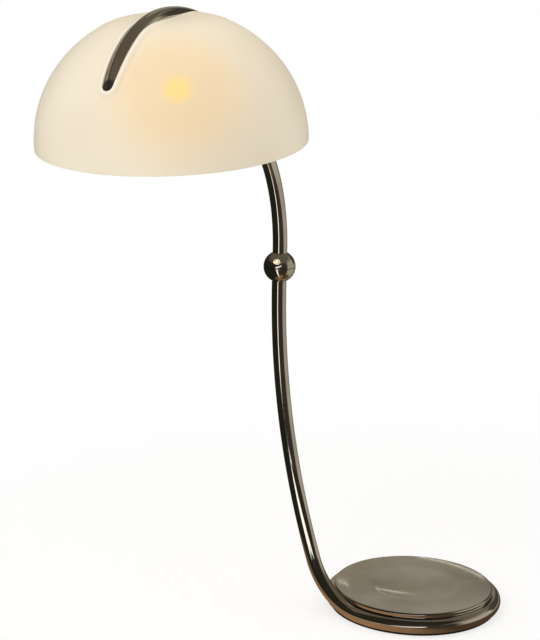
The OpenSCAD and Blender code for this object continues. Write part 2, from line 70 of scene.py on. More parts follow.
capSize = {"run": 9, "notch": 1, "notchDepth": 0.8, "plug": 6, "plugIn": 0.6, "plugUp": 1,
           "rimIn": 0.25, "rimLow": 0.05, "rimUp": 0.4}
shadeSize = {"radius": 245, "height": 238, "rimWall": 5, "rimRound": 1.8, "shoulder": 45, "wall": 4,
             "pitch": 3.8, "sink": 11.5, "grooveGap": 0.5, "grooveWall": 6, "mouth": 0.55,
             "lip": 5.4, "lipWidth": 11.5, "lipFade": 9, "lipSinkFrom": 60, "lipSinkOver": 28,
             "lipRear": 0.15, "innerRun": 6, "crownDrop": 13, "crownReach": 112}

ringHeight = footSize["padHeight"] + tubeSize["radius"]
neckHeight = math.sqrt(ballSize["radius"] ** 2 - tubeSize["radius"] ** 2) + stemSize["neck"]
socketHeight = ballSize["web"] + ballSize["seam"] / 2

atFoot = Matrix.Identity(4)
onRing = (turn(stemSize["azimuth"], "Z") @ shift(footSize["ringRadius"], 0, ringHeight)
          @ turn(-270, "Z") @ turn(-90, "Y"))
pastFoot = onRing @ pastBend(stemSize["footBend"], stemSize["footAngle"])
stemTop = pastFoot @ pastBend(stemSize["longBend"], 90 - stemSize["footAngle"])
ballCentre = (stemTop @ shift(0, 0, neckHeight)).translation
atBall = Matrix.Translation(ballCentre)
atArm = atBall @ turn(armSize["azimuth"], "Z")
atLow = atArm @ shift(0, 0, neckHeight)
pastLow = atLow @ pastBend(armSize["lowBend"], armSize["lowAngle"])
atHigh = pastLow @ shift(0, 0, armSize["run"])
atFront = atHigh @ pastBend(armSize["highBend"], armSize["highAngle"])
atTip = atFront @ pastBend(armSize["frontBend"], armSize["frontAngle"])
overLamp = atHigh @ pastBend(armSize["highBend"], armSize["lampAngle"])
atLamp = overLamp @ turn(90, "Y")
atShade = (overLamp @ turn(-90, "Y") @ turn(shadeSize["pitch"], "Y")
           @ shift(0, 0, shadeSize["sink"] - shadeSize["height"]))


# mesh helpers
def finishMesh(name, verts, faces, sharp=35, marks=None):
    # marks holds a share for each point, which a finish can read by its name
    mesh = bpy.data.meshes.new(name)
    mesh.from_pydata([tuple(v) for v in verts], [], faces)
    for mark, shares in (marks or {}).items():
        mesh.attributes.new(mark, "FLOAT", "POINT").data.foreach_set("value", shares)
    work = bmesh.new()
    work.from_mesh(mesh)
    bmesh.ops.remove_doubles(work, verts=work.verts, dist=2e-6)
    bmesh.ops.dissolve_degenerate(work, edges=work.edges, dist=1e-7)
    bmesh.ops.recalc_face_normals(work, faces=work.faces)
    work.to_mesh(mesh)
    work.free()
    mesh.shade_smooth()
    mesh.set_sharp_from_angle(angle=math.radians(sharp))
    piece = bpy.data.objects.new(name, mesh)
    scene.collection.objects.link(piece)
    return piece


def rowFaces(rows, loop=True, start=0):
    count = len(rows[0])
    faces = []
    for i in range(len(rows) - 1):
        for j in range(count if loop else count - 1):
            k = (j + 1) % count
            a, b = start + i * count, start + (i + 1) * count
            faces.append((a + j, a + k, b + k, b + j))
    return faces


def ringPoints(place, radius, height, around):
    points = []
    for j in range(around):
        a = 2 * math.pi * j / around
        points.append(place @ Vector((radius * mm * math.cos(a), radius * mm * math.sin(a), height * mm)))
    return points


def sweep(name, places, around=tubeSize["around"]):
    # places holds a frame and a radius for each ring of points; both ends are closed
    rows = [ringPoints(place, radius, 0, around) for place, radius in places]
    faces = rowFaces(rows)
    last = (len(rows) - 1) * around
    faces.append(tuple(reversed(range(around))))
    faces.append(tuple(range(last, last + around)))
    return finishMesh(name, [v for row in rows for v in row], faces)


def bendPlaces(start, bendRadius, degrees, radius, step=2.0):
    count = max(4, int(math.ceil(degrees / step)))
    return [(start @ pastBend(bendRadius, degrees * i / count), radius) for i in range(count + 1)]


def lathe(name, profile, place, around=72):
    # profile holds radius and height pairs of a closed outline
    rows = [ringPoints(place, r, z, around) for r, z in list(profile) + [profile[0]]]
    return finishMesh(name, [v for row in rows for v in row], rowFaces(rows))


def rounded(corners, steps=6):
    # corners hold x, y and how far the rounding reaches along each side
    out = []
    for i, (x, y, reach) in enumerate(corners):
        p = Vector((x, y))
        if reach == 0:
            out.append((x, y))
            continue
        before = Vector(corners[i - 1][:2]) - p
        after = Vector(corners[(i + 1) % len(corners)][:2]) - p
        a = p + before.normalized() * min(reach, before.length * 0.5)
        b = p + after.normalized() * min(reach, after.length * 0.5)
        for k in range(steps + 1):
            t = k / steps
            out.append(tuple(a * (1 - t) ** 2 + p * 2 * t * (1 - t) + b * t * t))
    return out


def arc(x, y, radius, fromDegrees, toDegrees, steps):
    out = []
    for k in range(steps + 1):
        a = math.radians(fromDegrees + (toDegrees - fromDegrees) * k / steps)
        out.append((x + radius * math.cos(a), y + radius * math.sin(a)))
    return out


# node helpers
def feed(tree, socket, value):
    # value is another node's socket, a colour or a plain number
    if isinstance(value, bpy.types.NodeSocket):
        tree.links.new(value, socket)
    elif socket.type == "RGBA":
        socket.default_value = tuple(value) + (1,)
    else:
        socket.default_value = value


def put(tree, kind, inputs=None, **settings):
    node = tree.nodes.new("ShaderNode" + kind)
    for key, value in settings.items():
        setattr(node, key, value)
    for key, value in (inputs or {}).items():
        feed(tree, node.inputs[key], value)
    return node


def layer(tree, kind, inputs=None):
    return put(tree, kind, inputs).outputs[0]  # a shader node's only output


def reckon(tree, operation, *values):
    return put(tree, "Math", dict(enumerate(values)), operation=operation).outputs["Value"]


def slope(tree, value, start, end, low=1.0, high=0.0, kind="LINEAR"):
    # low up to the start, high from the end on
    limits = {"Value": value, "From Min": start, "From Max": end, "To Min": low, "To Max": high}
    return put(tree, "MapRange", limits, interpolation_type=kind).outputs["Result"]


def blend(tree, share, under, over):
    return put(tree, "MixRGB", {"Fac": share, "Color1": under, "Color2": over}).outputs["Color"]


def tones(tree, source, low, high, lowAt=0.35, highAt=0.65):
    ramp = put(tree, "ValToRGB", {"Fac": source})
    ramp.color_ramp.interpolation = "EASE"
    for stop, at, tone in zip(ramp.color_ramp.elements, (lowAt, highAt), (low, high)):
        stop.position = at
        stop.color = tone + (1,)
    return ramp.outputs["Color"]


def spread(tree, source, low, high, lowAt=0.3, highAt=0.7):
    return slope(tree, source, lowAt, highAt, low, high, "SMOOTHSTEP")


def grain(tree, place, scale, detail=3.0, rough=0.5):
    inputs = {"Vector": place, "Scale": scale, "Detail": detail, "Roughness": rough}
    return put(tree, "TexNoise", inputs).outputs["Fac"]


def bumpFrom(tree, shader, height, strength, depth):
    bump = put(tree, "Bump", {"Height": height, "Strength": strength, "Distance": depth})
    feed(tree, shader.inputs["Normal"], bump.outputs["Normal"])


def startFinish(name, **sockets):
    finish = bpy.data.materials.new(name)
    finish.use_nodes = True
    tree = finish.node_tree
    shader = tree.nodes["Principled BSDF"]
    for key, value in sockets.items():
        feed(tree, shader.inputs[key.replace("_", " ")], value)
    place = put(tree, "TexCoord").outputs["Object"]
    return finish, tree, shader, place


# finishes
chromeLook = {"low": (0.60, 0.585, 0.54), "high": (0.72, 0.715, 0.685), "rough": (0.035, 0.085),
              "cloudScale": 9.0, "hazeScale": 60.0, "rippleScale": 16.0, "ripple": 0.05,
              "rippleDepth": 0.0008}
coverLook = dict(chromeLook, ripple=0.09)


def chromePlate(name, look):
    finish, tree, shader, place = startFinish(name, Metallic=1.0)
    cloud = grain(tree, place, look["cloudScale"], detail=4.0)
    feed(tree, shader.inputs["Base Color"], tones(tree, cloud, look["low"], look["high"]))
    haze = grain(tree, place, look["hazeScale"], detail=5.0, rough=0.65)
    feed(tree, shader.inputs["Roughness"], spread(tree, haze, *look["rough"]))
    wave = grain(tree, place, look["rippleScale"], detail=1.0, rough=0.3)
    bumpFrom(tree, shader, wave, look["ripple"], look["rippleDepth"])
    return finish


# glow, halo and spot below are painted light, standing in for the bulb's light coming through the opal
opalLook = {"low": (0.825, 0.755, 0.615), "high": (0.865, 0.80, 0.66), "rough": (0.30, 0.37),
            "cloudScale": 5.0, "hazeScale": 9.0, "glow": (1.0, 0.72, 0.42), "plainGlow": 0.05,
            "spotAt": (-0.4256, -0.593, 1.123), "spot": (0.80, 0.62, 0.22), "spotGlow": 0.11,
            "spotReach": (0.010, 0.035), "halo": (0.83, 0.67, 0.45), "haloGlow": 0.055,
            "haloReach": (0.05, 0.17), "lip": (0.91, 0.89, 0.83), "lipShare": 0.65}


def opalAcrylic(name, look):
    finish, tree, shader, place = startFinish(
        name, IOR=1.49, Specular_IOR_Level=0.18, Coat_Weight=0.06, Coat_Roughness=0.12,
        Transmission_Weight=0.08, Emission_Color=look["glow"])
    color = tones(tree, grain(tree, place, look["cloudScale"], detail=1.0), look["low"], look["high"])
    haze = grain(tree, place, look["hazeScale"], detail=1.0)
    feed(tree, shader.inputs["Roughness"], spread(tree, haze, *look["rough"]))
    # painted light: the dome is given a faint glow all over, and a warm spot with a halo, painted in colour
    # and glow round a fixed point, stands in for the lit bulb showing through
    reach = put(tree, "VectorMath", {0: place, 1: look["spotAt"]}, operation="DISTANCE").outputs["Value"]
    glow = look["plainGlow"]
    for part in ("halo", "spot"):
        near, far = look[part + "Reach"]
        share = slope(tree, reach, near, far, kind="SMOOTHSTEP")
        color = blend(tree, share, color, look[part])
        glow = reckon(tree, "MULTIPLY_ADD", share, look[part + "Glow"], glow)
    # the lip of the groove is thicker, and its paler tone is a painted highlight for the light its crest
    # catches
    onLip = put(tree, "Attribute", attribute_name="lip").outputs["Fac"]
    color = blend(tree, reckon(tree, "MULTIPLY", onLip, look["lipShare"]), color, look["lip"])
    feed(tree, shader.inputs["Base Color"], color)
    feed(tree, shader.inputs["Emission Strength"], glow)
    return finish


glassLook = {"low": (0.9, 0.86, 0.76), "high": (0.97, 0.94, 0.86), "frostScale": 120.0, "cloudScale": 14.0,
             "glow": (1.0, 0.92, 0.76), "strength": 4.0, "dimmest": 0.92}


def litGlass(name, look):
    finish, tree, shader, place = startFinish(name, Roughness=0.35, IOR=1.5, Emission_Color=look["glow"])
    frost = grain(tree, place, look["frostScale"])
    feed(tree, shader.inputs["Base Color"], tones(tree, frost, look["low"], look["high"]))
    full = look["strength"]
    glow = spread(tree, grain(tree, place, look["cloudScale"]), full * look["dimmest"], full)
    feed(tree, shader.inputs["Emission Strength"], glow)
    return finish


plainLooks = {
    "black_plastic": {"name": "blackPlastic", "low": (0.016, 0.011, 0.011), "high": (0.034, 0.025, 0.024),
                      "rough": (0.28, 0.42), "scale": 90},
    "pad_rubber": {"name": "padRubber", "low": (0.012, 0.012, 0.012), "high": (0.024, 0.023, 0.022),
                   "rough": (0.7, 0.9), "scale": 120, "bump": 0.4},
    "ballast_iron": {"name": "ballastIron", "low": (0.03, 0.03, 0.032), "high": (0.055, 0.054, 0.055),
                     "rough": (0.5, 0.75), "scale": 60, "metal": 0.6, "bump": 0.5, "depth": 0.0006},
    "fixing_steel": {"name": "fixingSteel", "low": (0.42, 0.42, 0.41), "high": (0.58, 0.57, 0.55),
                     "rough": (0.29, 0.42), "scale": 150, "metal": 1.0, "bump": 0.08},
    "nylon": {"name": "nylonWhite", "low": (0.6, 0.58, 0.52), "high": (0.7, 0.68, 0.62),
              "rough": (0.45, 0.6), "scale": 80},
    "lead_sheath": {"name": "leadSheath", "low": (0.02, 0.02, 0.02), "high": (0.035, 0.034, 0.033),
                    "rough": (0.4, 0.55), "scale": 70},
    "brass_fitting": {"name": "turnedBrass", "low": (0.55, 0.38, 0.13), "high": (0.68, 0.5, 0.2),
                      "rough": (0.29, 0.38), "scale": 120, "metal": 1.0, "bump": 0.08},
    "holder_plastic": {"name": "holderPlastic", "low": (0.68, 0.64, 0.55), "high": (0.76, 0.72, 0.64),
                       "rough": (0.29, 0.36), "scale": 100},
    "cap_aluminium": {"name": "capAluminium", "low": (0.6, 0.6, 0.6), "high": (0.72, 0.72, 0.71),
                      "rough": (0.29, 0.42), "scale": 150, "metal": 1.0, "bump": 0.08}}


def plainFinish(name, low, high, rough, scale, metal=0.0, bump=0.1, depth=0.0003):
    finish, tree, shader, place = startFinish(name, Metallic=metal)
    speck = grain(tree, place, scale, detail=4.0, rough=0.6)
    feed(tree, shader.inputs["Base Color"], tones(tree, speck, low, high))
    feed(tree, shader.inputs["Roughness"], spread(tree, speck, *rough))
    fineScale = scale * 6
    bumpFrom(tree, shader, grain(tree, place, fineScale, detail=3.0, rough=0.6), bump, depth)
    return finish


slotFinish = {"tube_chrome": chromePlate("tubeChrome", chromeLook),
              "ball_chrome": chromePlate("ballChrome", chromeLook),
              "cover_chrome": chromePlate("coverChrome", coverLook),
              "opal_acrylic": opalAcrylic("opalAcrylic", opalLook),
              "bulb_glass": litGlass("bulbGlass", glassLook)}
for slotName, look in plainLooks.items():
    slotFinish[slotName] = plainFinish(**look)
for part in frame["record"]["subparts"]:
    slots = frame["nodes"][part["node"]].data.materials
    for i in range(len(slots)):
        slots[i] = slotFinish[part["material_slot"]]
print("finishes made")


def dress(piece, body, slotName, *nodes):
    piece.data.materials.clear()
    piece.data.materials.append(slotFinish[slotName])
    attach(piece, body)
    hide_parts(*nodes)
    return piece


# foot and stem
def makeStem():
    ring, r, soft = footSize["ringRadius"], tubeSize["radius"], stemSize["softEnd"]
    places = []
    count = 150
    for i in range(count + 1):
        a = stemSize["azimuth"] + (360 - footSize["openAngle"]) * (1 - i / count)
        places.append((turn(a, "Z") @ shift(ring, 0, ringHeight) @ turn(90, "Z") @ turn(-90, "Y"), r))
    openEnd = places[0][0]
    places[0] = (openEnd @ shift(0, 0, soft), r)
    places.insert(0, (openEnd, r - soft))
    places += bendPlaces(onRing, stemSize["footBend"], stemSize["footAngle"], r)[1:]
    places += bendPlaces(pastFoot, stemSize["longBend"], 90 - stemSize["footAngle"], r, step=0.6)[1:]
    places.append((stemTop @ shift(0, 0, neckHeight - socketHeight), r))
    return sweep("stemTube", places)


def makeCover():
    top, r, edge, t = (footSize[k] for k in ("coverTop", "coverRadius", "edge", "sheet"))
    dish, deep, soft = footSize["dishRadius"], footSize["dishDepth"], footSize["dishEdge"]
    low, hem = footSize["skirt"], footSize["hem"]
    steps = 14
    bowl = [(dish - soft) * k / steps for k in range(steps + 1)]  # a shallow bowl with a soft edge
    upper = [(x, top - deep * (1 - (x / dish) ** 2)) for x in bowl]
    upper += rounded([upper[-1] + (0,), (dish, top, soft), (dish + soft, top, 0)])[1:-1]
    skirtRows = (4, 2)  # rows of points above the hem
    outside = arc(r - edge, top - edge, edge, 90, 0, steps=10)
    outside += [(r, low + up) for up in skirtRows]
    outside += [(r, low + hem), (r - hem, low), (r - t, low)]
    inside = [(r - t, low + up) for up in reversed(skirtRows)]
    inside += [(r - t, top - edge), (r - edge, top - t)]
    under = [(x, z - t) for x, z in reversed(upper)]
    cover = lathe("baseCover", upper + outside + inside + under, atFoot, around=240)
    # the skirt gives way to the rising bend
    bend = bendPlaces(onRing, stemSize["footBend"], stemSize["footAngle"], 0, step=1.0)
    path = [place.translation for place, _ in bend]
    apart = (tubeSize["radius"] + footSize["bendRoom"]) * mm
    for vert in cover.data.vertices:
        near = min(path, key=lambda p: (p - vert.co).length_squared)
        away = vert.co - near
        if away.length < apart:
            vert.co = near + away.normalized() * apart
    return cover


def makePad():
    r, height, edge = footSize["padRadius"], footSize["padHeight"], footSize["padEdge"]
    outline = rounded([(0, 0, 0), (r, 0, edge), (r, height, edge), (0, height, 0)])
    return lathe("floorPad", outline, atFoot, around=160)


dress(makeStem(), "stand", "tube_chrome", "stem_tube")
dress(makeCover(), "stand", "cover_chrome", "base_cover")
dress(makePad(), "stand", "pad_rubber", "floor_pad")
print("foot and stem made")


# split ball
def makeBallHalf(name, place):
    r, bore, inset = ballSize["radius"], ballSize["bore"], ballSize["seamCorner"]
    socket = tubeSize["radius"] + ballSize["socketPlay"]
    seam = ballSize["seam"] / 2
    brim = math.sqrt(r * r - socket * socket)
    fromAngle = math.degrees(math.asin((seam + ballSize["seamUp"]) / r))
    toAngle = math.degrees(math.asin(brim / r)) - ballSize["brimAngle"]
    outline = [(bore, seam), (r - ballSize["seamIn"], seam), (r - inset, seam + inset)]
    outline += arc(0, 0, r, fromAngle, toAngle, steps=28)
    outline += [(socket, brim - ballSize["brimEdge"]), (socket, socketHeight), (bore, socketHeight)]
    return lathe(name, outline, place, around=112)


dress(makeBallHalf("upperBallHalf", atArm), "arm", "ball_chrome", "upper_ball_half")
dress(makeBallHalf("lowerBallHalf", atBall @ turn(180, "X")), "stand", "ball_chrome", "lower_ball_half")
print("split ball made")


# arched arm and its end cap
def makeArm():
    r, soft = tubeSize["radius"], armSize["softEnd"]
    places = [(atArm @ shift(0, 0, socketHeight), r), (atLow, r)]
    places += bendPlaces(atLow, armSize["lowBend"], armSize["lowAngle"], r, step=1.2)[1:]
    places.append((atHigh, r))
    places += bendPlaces(atHigh, armSize["highBend"], armSize["highAngle"], r, step=1.2)[1:]
    places += bendPlaces(atFront, armSize["frontBend"], armSize["frontAngle"], r, step=1.8)[1:]
    end = places.pop()[0]
    places += [(end @ shift(0, 0, -soft), r), (end @ shift(0, 0, -soft / 4), r - soft / 4), (end, r - soft)]
    return sweep("armTube", places)


def makeEndCap():
    c = capSize
    r, run, notch, plug = tubeSize["radius"], c["run"], c["notch"], c["plug"]
    neck = r - c["notchDepth"]
    outline = [(0, -plug), (neck - c["plugIn"], -plug), (neck, c["plugUp"] - plug), (neck, notch)]
    outline += [(r - c["rimIn"], notch + c["rimLow"]), (r, notch + c["rimUp"]), (r, run)]
    outline += arc(0, run, r, 0, 90, steps=18)[1:]
    return lathe("armEndCap", outline, atTip)


dress(makeArm(), "arm", "tube_chrome", "arm_tube")
dress(makeEndCap(), "arm", "black_plastic", "arm_end_cap")
print("arm made")


# opal dome with the groove that the arm lies in
def makeShade():
    s = shadeSize
    up = s["height"] - s["rimWall"]
    turnAt = math.radians(s["shoulder"])
    offset = (s["radius"] - up) / (math.sin(turnAt) + math.cos(turnAt) - 1)
    shoulderRadius = s["radius"] - offset * math.cos(turnAt)
    crownRadius = shoulderRadius + offset
    shoulderCentre = (offset * math.cos(turnAt), s["rimWall"])
    crownCentre = (0, s["rimWall"] - offset * math.sin(turnAt))
    intoShade = atShade.inverted()
    # outline of the lip: how far along its width and how high, as shares of both
    lipShape = ((0.0, 0.53), (0.025, 0.78), (0.075, 0.94), (0.15, 1.0), (0.3, 1.0), (0.45, 0.94),
                (0.57, 0.78), (0.69, 0.45), (0.82, 0.14), (1.0, 0.0))

    def crownDrop(r):
        # the crown is a little flatter than its arc
        return s["crownDrop"] * max(0.0, 1 - (r / s["crownReach"]) ** 2) ** 2

    def reach(elevation, inwards):
        # distance from the rim's centre to the dome's skin in a direction at this elevation
        c, n = math.cos(elevation), math.sin(elevation)
        wall = s["radius"] - inwards
        if wall * n <= s["rimWall"] * c:
            return wall / max(c, 1e-9)
        for (cx, cz), radius in ((shoulderCentre, shoulderRadius), (crownCentre, crownRadius)):
            b = c * cx + n * cz
            far = b + math.sqrt(b * b - cx * cx - cz * cz + (radius - inwards) ** 2)
            if math.atan2(n * far - cz, c * far - cx) <= turnAt:
                break
        return far - crownDrop(far * c)

    def skin(direction, inwards):
        elevation = math.asin(max(0.0, min(1.0, direction.z)))
        p = direction * reach(elevation, inwards)
        if p.z < s["rimWall"]:
            p.z = s["rimRound"] + p.z * (1 - s["rimRound"] / s["rimWall"])
        return p

    # the arm's line in the shade's own middle plane: its angle and its distance from the rim's centre
    line = []
    for place, _ in (bendPlaces(atHigh, armSize["highBend"], armSize["highAngle"], 0, step=0.5)
                     + bendPlaces(atFront, armSize["frontBend"], armSize["frontAngle"], 0, step=0.5)[1:]
                     + [(atTip @ shift(0, 0, capSize["run"]), 0)]):
        p = intoShade @ place.translation / mm
        line.append((math.atan2(p.z, p.x), math.hypot(p.x, p.z)))
    endAngle = line[-1][0]
    farAway = 1000.0

    def lineDepth(angle):
        for (a0, d0), (a1, d1) in zip(line, line[1:]):
            if a1 <= angle <= a0:
                t = (angle - a1) / max(a0 - a1, 1e-9)
                return d1 + (d0 - d1) * t
        return farAway

    def lipHeight(angle):
        # the lip sinks away over the crown
        t = min(1.0, max(0.0, (math.degrees(angle) - s["lipSinkFrom"]) / s["lipSinkOver"]))
        return 1 - (1 - s["lipRear"]) * t * t * (3 - 2 * t)

    def row(direction, sideways, sweepEnd, depth, lipShare, shell):
        # points from the groove's bottom up its wall, over the lip and along the dome
        inwards, groove, lipWidth = shell["inwards"], shell["groove"], shell["lipWidth"]
        lip = shell["lip"] * lipShare
        radius = reach(math.asin(direction.z), inwards)
        sunk = max(-groove, radius - depth + lipShape[0][1] * lip)
        inGroove = sunk > -groove
        top = math.acos(max(0.0, -sunk / groove))
        wide = groove * math.sin(top)
        fade = min(1.0, wide / s["lipFade"]) if inGroove else 0.0
        # above the tube's widest line the wall leans in to the mouth
        chord = math.sqrt(max(0.0, groove ** 2 - max(0.0, sunk) ** 2))
        start = chord + s["mouth"] * (groove - chord) if sunk > 0 else wide
        leans = sunk > 0.05  # less than this is too little to shape
        arcSteps, wallSteps = 7, 11
        points = []
        for k in range(wallSteps):
            a = top * (min(1.0, k / arcSteps) if leans else k / wallSteps)
            t = max(0.0, k - arcSteps) / (wallSteps - arcSteps) if leans else 0.0
            out = groove * math.sin(a) + (start - wide) * t * t
            points.append(direction * (depth - groove * math.cos(a) + max(0.0, sunk) * t) + sideways * out)
        if not inGroove:
            points = [direction * radius for _ in points]
            start = 0.0
        # each point's share of the lip's painted highlight
        shares = [0.0] * len(points) + [rise * fade * lip / s["lip"] for _, rise in lipShape]
        for along, rise in lipShape:
            w = (start + along * lipWidth) / radius
            d = direction * math.cos(w) + sideways * math.sin(w)
            points.append(skin(d, inwards) + d * rise * lip * fade)
        begin = (start + lipWidth) / radius
        count, evenShare = 30, 0.35  # the rows lie closer together near the lip
        for k in range(1, count + 1):
            t = k / count
            ease = evenShare * t + (1 - evenShare) * t * t if t < 1 else 1
            w = begin + (sweepEnd - begin) * ease
            points.append(skin(direction * math.cos(w) + sideways * math.sin(w), inwards))
        return points, shares + [0.0] * count

    def wholeSkin(shell):
        # rows along one side of the groove, round its front end and back along the other side
        side = Vector((0, 1, 0))
        rearCount, fanCount = 74, 48
        blocks = []
        for sign in (-1, 1):
            block = []
            for k in range(rearCount + 1):
                a = math.pi - (math.pi - endAngle) * k / rearCount
                d = Vector((math.cos(a), 0, math.sin(a)))
                block.append(row(d, side * sign, math.pi / 2, lineDepth(a), lipHeight(a), shell))
            blocks.append(block)
        fan = []
        d = Vector((math.cos(endAngle), 0, math.sin(endAngle)))
        ahead = Vector((math.sin(endAngle), 0, -math.cos(endAngle)))
        for k in range(1, fanCount):
            b = -math.pi / 2 + math.pi * k / fanCount
            way = ahead * math.cos(b) + side * math.sin(b)
            end = math.atan2(d.z, -way.z) if way.z < -1e-9 else math.pi / 2
            fan.append(row(d, way, end, lineDepth(endAngle), 1.0, shell))
        rows = blocks[0] + fan + blocks[1][::-1]
        return [points for points, _ in rows], [share for _, shares in rows for share in shares]

    def rim(rows):
        return rows[0] + [points[-1] for points in rows[1:-1]] + rows[-1][::-1]

    groove = tubeSize["radius"] + s["grooveGap"]
    outer, outerShares = wholeSkin(
        {"inwards": 0.0, "groove": groove, "lip": s["lip"], "lipWidth": s["lipWidth"]})
    inner, innerShares = wholeSkin(
        {"inwards": s["wall"], "groove": groove + s["grooveWall"], "lip": 0.0, "lipWidth": s["innerRun"]})
    # rounded lower edge between the two skins
    loops = []
    steps, fullness = 8, 0.6
    for k in range(steps + 1):
        half = math.pi * k / steps
        across = 0.5 - 0.5 * math.cos(half)
        drop = Vector((0, 0, s["rimRound"] * math.sin(half) ** fullness))
        loops.append([a.lerp(b, across) - drop for a, b in zip(rim(outer), rim(inner))])
    verts, faces = [], []
    for rows in (outer, inner, loops):
        faces += rowFaces(rows, False, len(verts))
        verts += [atShade @ (p * mm) for points in rows for p in points]
    shares = outerShares + innerShares
    shares += [0.0] * (len(verts) - len(shares))
    return finishMesh("shadeDome", verts, faces, sharp=60, marks={"lip": shares})


shadeDome = dress(makeShade(), "arm", "opal_acrylic", "shade")
print("shade made: %d faces" % len(shadeDome.data.polygons))


# lamp holder and bulb, measured down the lamp's axis from the tube's centre
holderSize = {"top": 33, "neck": 10, "shoulder": 40, "flare": 47, "seat": 54, "floor": 57, "well": 61,
              "end": 90, "radius": 20.5, "bore": 16, "wall": 2, "nippleHole": 5.05, "rivetHole": 2.95,
              "grooves": 5, "grooveFrom": 6, "groovePitch": 3, "grooveDepth": 0.4, "grooveWidth": 1.4}


def makeHolderCap():
    h = holderSize
    r, inner = h["radius"], h["radius"] - h["wall"]
    neck, hole = h["neck"], h["nippleHole"]
    outline = rounded([
        (hole, h["top"], 0), (neck, h["top"], 1), (neck, h["shoulder"], 4),
        (r, h["flare"], 4), (r, h["seat"], 0.4), (inner, h["seat"], 0.4),
        (inner, h["flare"] + 1, 3), (neck - h["wall"], h["shoulder"] + 0.5, 1), (hole, h["shoulder"], 0)])
    return lathe("holderCap", outline, atLamp)


def makeHolderBody():
    h = holderSize
    r, bore, hole, deep = h["radius"], h["bore"], h["rivetHole"], h["grooveDepth"]
    outline = [(hole, h["floor"], 0), (bore, h["floor"], 0), (bore, h["seat"], 0), (r, h["seat"], 0.5)]
    for k in range(h["grooves"]):  # fine grooves for the fingers
        z = h["seat"] + h["grooveFrom"] + h["groovePitch"] * k
        end = z + h["grooveWidth"]
        outline += [(r, z, 0), (r - deep, z + deep, 0), (r - deep, end - deep, 0), (r, end, 0)]
    outline += [(r, h["end"], 1.2), (bore, h["end"], 1.0), (bore, h["well"], 0), (hole, h["well"], 0)]
    return lathe("holderBody", rounded(outline), atLamp)


dress(makeHolderCap(), "arm", "holder_plastic", "holder_cap")
dress(makeHolderBody(), "arm", "holder_plastic", "holder_body")
print("lamp holder made")

bulbSize = {"cap": 90, "neck": 13.2, "globe": 30, "reach": 47}
bulbLight = {"power": 3.0, "color": (1.0, 0.89, 0.72), "size": 0.026}


def makeBulb():
    neck, reach, globe = bulbSize["neck"], bulbSize["reach"], bulbSize["globe"]
    a = math.degrees(math.acos(globe / math.hypot(neck, reach)) - math.atan2(reach, neck))
    outline = [(0, bulbSize["cap"]), (neck, bulbSize["cap"])]
    outline += arc(0, bulbSize["cap"] + reach, globe, a, 90, steps=26)
    return lathe("bulbGlass", outline, atLamp)


def makeBulbLight(look):
    data = bpy.data.lights.new("bulbLight", "POINT")
    data.energy = look["power"]
    data.color = look["color"]
    data.shadow_soft_size = look["size"]
    lamp = bpy.data.objects.new("bulbLight", data)
    lamp.location = atLamp @ Vector((0, 0, (bulbSize["cap"] + bulbSize["reach"]) * mm))
    lamp.visible_camera = lamp.visible_glossy = lamp.visible_transmission = False
    scene.collection.objects.link(lamp)


bulbGlass = dress(makeBulb(), "arm", "bulb_glass", "bulb_glass")
bulbGlass.visible_shadow = False  # the light inside shines out through it
print("bulb made")


# camera at the photograph's viewing angle
cameraLook = {"place": (0, -3.55, 1.4359), "yaw": 5.07, "pitch": 13.249, "roll": 1.384, "lens": 100.909,
              "sensor": 36}


def makeCamera(look):
    yaw, pitch, roll = (math.radians(look[k]) for k in ("yaw", "pitch", "roll"))
    right = Vector((math.cos(yaw), math.sin(yaw), 0))
    level = Vector((-math.sin(yaw), math.cos(yaw), 0))
    up = level * math.sin(pitch) + Vector((0, 0, 1)) * math.cos(pitch)
    ahead = level * math.cos(pitch) - Vector((0, 0, 1)) * math.sin(pitch)
    x = right * math.cos(roll) + up * math.sin(roll)
    y = up * math.cos(roll) - right * math.sin(roll)
    data = bpy.data.cameras.new("camera")
    data.lens = look["lens"]
    data.sensor_width = look["sensor"]
    data.sensor_fit = "AUTO"
    camera = bpy.data.objects.new("camera", data)
    camera.matrix_world = Matrix.Translation(look["place"]) @ Matrix((x, y, -ahead)).transposed().to_4x4()
    scene.collection.objects.link(camera)
    scene.camera = camera


makeCamera(cameraLook)
print("camera made")


# studio: soft lamps, a pale floor, and the tones of a dim room that the chrome mirrors
lamps = {"keySoftbox": {"at": (-1.7, -2.3, 2.5), "aim": (-0.3, -0.2, 0.9), "size": (0.7, 0.9), "power": 16,
                        "color": (1.0, 0.98, 0.94)},
         "topSoftbox": {"at": (0.4, 0.6, 3.6), "aim": (-0.2, -0.2, 0.5), "size": (1.6, 1.6), "power": 16,
                        "color": (1.0, 0.93, 0.76)}}


def makeLamp(name, look):
    data = bpy.data.lights.new(name, "AREA")
    data.shape = "RECTANGLE"
    data.size, data.size_y = look["size"]
    data.energy = look["power"]
    data.color = look["color"]
    lamp = bpy.data.objects.new(name, data)
    facing = (Vector(look["aim"]) - Vector(look["at"])).to_track_quat("-Z", "Y")
    lamp.matrix_world = Matrix.Translation(look["at"]) @ facing.to_matrix().to_4x4()
    lamp.visible_glossy = False  # the chrome mirrors the room instead
    scene.collection.objects.link(lamp)


# bearings run from 0 at the rear by the left, the front (0.5) and the right to 1 at the rear again
room = {"rear": (0.31, 0.272, 0.208), "left": (0.020, 0.020, 0.013), "front": (0.045, 0.037, 0.030),
        "right": (0.47, 0.42, 0.32), "rearRight": (0.19, 0.163, 0.127), "ceiling": (0.155, 0.125, 0.088)}
roomStops = ((0.0, "rear"), (0.04, "rear"), (0.10, "left"), (0.40, "left"), (0.48, "front"), (0.66, "front"),
             (0.70, "right"), (0.84, "right"), (0.93, "rearRight"), (0.985, "rearRight"), (1.0, "rear"))


